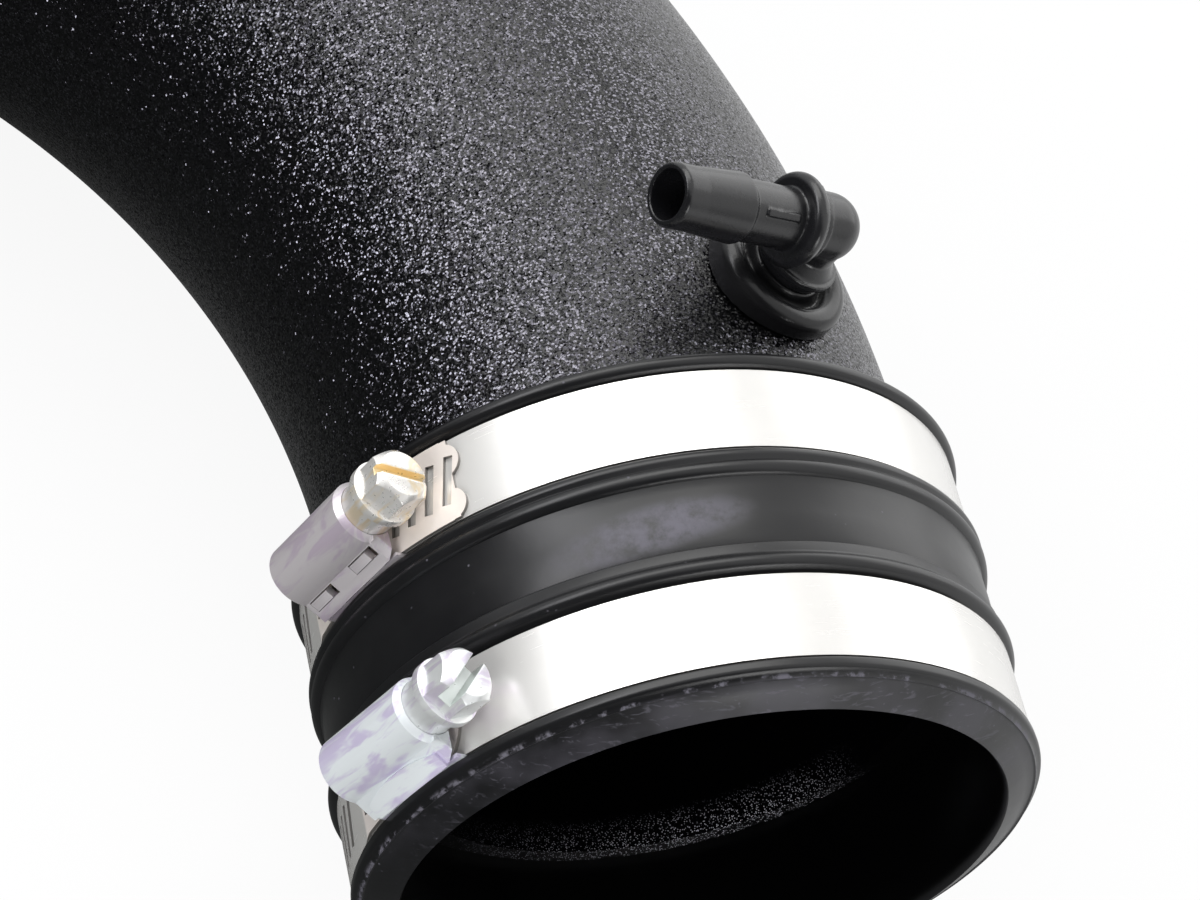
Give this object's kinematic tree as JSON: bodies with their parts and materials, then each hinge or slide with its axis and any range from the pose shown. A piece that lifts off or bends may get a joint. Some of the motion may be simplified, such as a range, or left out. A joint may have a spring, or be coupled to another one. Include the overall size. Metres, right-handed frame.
{
  "type": "cold air intake pipe",
  "caption": "Bent black air intake duct with a stepped rubber coupler held by worm-drive band clamps and a small vent elbow pressed into a grommet on its top.",
  "frame": {"origin": "centre of the coupler's open mouth, in the plane of its end face", "axes": "+Y runs from the mouth up the coupler into the duct, the duct bends toward -X, and +Z is square to the plane of the bend, on the side where the vent elbow stands"},
  "size_m": [0.261, 0.2962, 0.119],
  "materials": {
    "duct_plastic": "fine grained black",
    "coupler_rubber": "moulded, semi-gloss black",
    "band_steel": "bright rolled strip",
    "saddle_steel": "zinc plated, violet tint",
    "upper_housing_steel": "zinc plated, grey with a violet tint",
    "upper_screw_steel": "zinc plated, yellow tint in the slot",
    "lower_housing_steel": "zinc plated, bluish white",
    "lower_screw_steel": "zinc plated, bluish white",
    "grommet_rubber": "satin black",
    "vent_plastic": "satin moulded black"
  },
  "bodies": {
    "pipe": {"intake_tube": "duct_plastic", "coupler": "coupler_rubber", "upper_clamp_band": "band_steel", "upper_clamp_saddle": "saddle_steel", "upper_clamp_housing": "upper_housing_steel", "lower_clamp_band": "band_steel", "lower_clamp_saddle": "saddle_steel", "lower_clamp_housing": "lower_housing_steel", "grommet": "grommet_rubber", "vent_elbow": "vent_plastic", "vent_nozzle": "vent_plastic"},
    "upper_screw": {"upper_clamp_screw": "upper_screw_steel"},
    "lower_screw": {"lower_clamp_screw": "lower_screw_steel"}
  },
  "joints": [
    {"name": "upper_screw_turn", "type": "hinge", "parent": "pipe", "child": "upper_screw", "pos_m": [-0.04915, 0.0447, 0.02188], "axis": [0.4067, 0, 0.9135], "continuous": true},
    {"name": "lower_screw_turn", "type": "hinge", "parent": "pipe", "child": "lower_screw", "pos_m": [-0.04772, 0.01155, 0.02484], "axis": [0.4617, 0, 0.887], "continuous": true}
  ]
}
